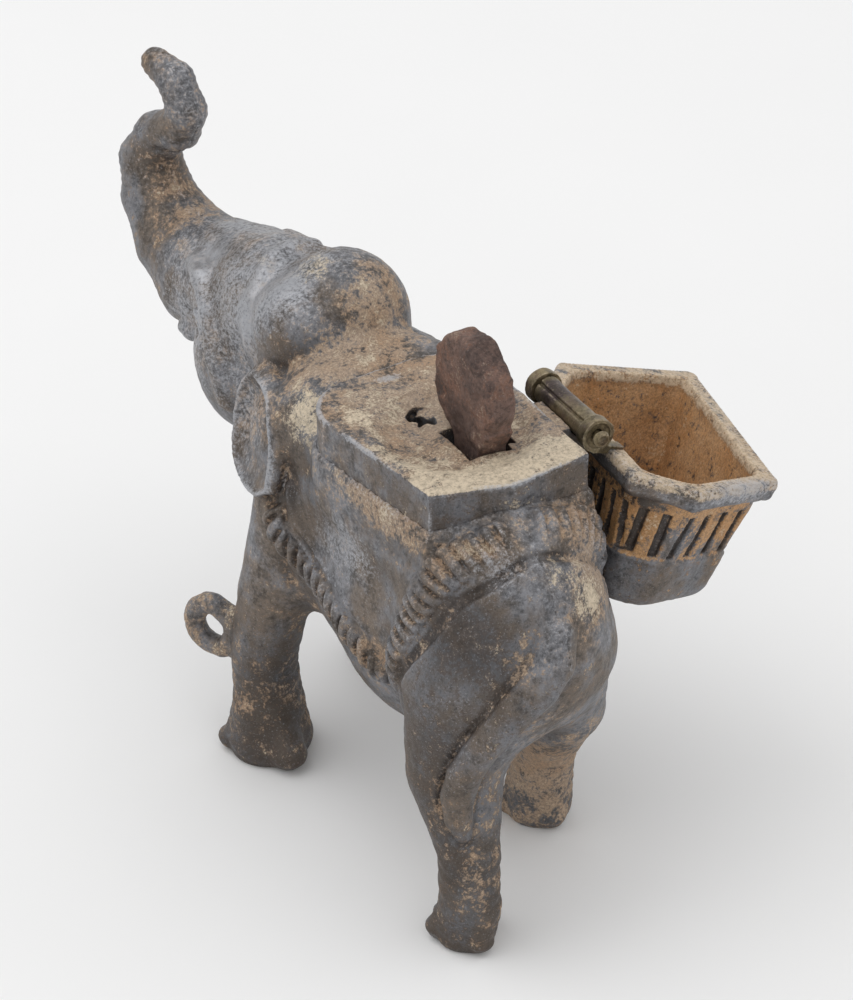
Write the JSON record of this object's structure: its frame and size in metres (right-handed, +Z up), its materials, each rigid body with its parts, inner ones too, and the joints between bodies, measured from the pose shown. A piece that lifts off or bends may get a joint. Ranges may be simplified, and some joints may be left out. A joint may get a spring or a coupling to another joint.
{
  "type": "figural animal coin bank",
  "caption": "Cast elephant coin bank with a saddle platform, a swinging coin lever over the slot, and a basket howdah hinged as a fold-over lid.",
  "frame": {"origin": "on the ground, under the middle of the bounding box", "axes": "+Z up, the elephant faces -Y and its left side is +X"},
  "size_m": [0.0722, 0.118, 0.0888],
  "materials": {
    "cast_spelter": "blue-grey cast metal with tan, ochre and brown corrosion in the recesses and worn silvery edges",
    "rusted_iron": "dark reddish rust",
    "old_brass": "dull olive-brown with worn spots",
    "steel": "darkened"
  },
  "bodies": {
    "bank": {"body_left": "cast_spelter", "body_right": "cast_spelter", "saddle_platform": "cast_spelter", "lever_pin": "steel", "lever_spring": "steel", "spring_screw": "steel", "hinge_barrel": "old_brass", "hinge_pin": "old_brass", "tether_eye": "cast_spelter", "body_screws": "steel"},
    "howdah": {"howdah": "cast_spelter", "hinge_eye_front": "old_brass", "hinge_eye_rear": "old_brass"},
    "coin_lever": {"coin_lever": "rusted_iron"}
  },
  "joints": [
    {"name": "howdah_hinge", "type": "hinge", "parent": "bank", "child": "howdah", "pos_m": [-0.00405, 0.0317, 0.0654], "axis": [0, 1, 0], "range_deg": [0, 199.5]},
    {"name": "lever_pivot", "type": "hinge", "parent": "bank", "child": "coin_lever", "pos_m": [0.01095, 0.0331, 0.057], "axis": [0, 1, 0], "range_deg": [0, 8], "stiffness_Nm_per_rad": 0.05, "springref_deg": -5.73}
  ]
}
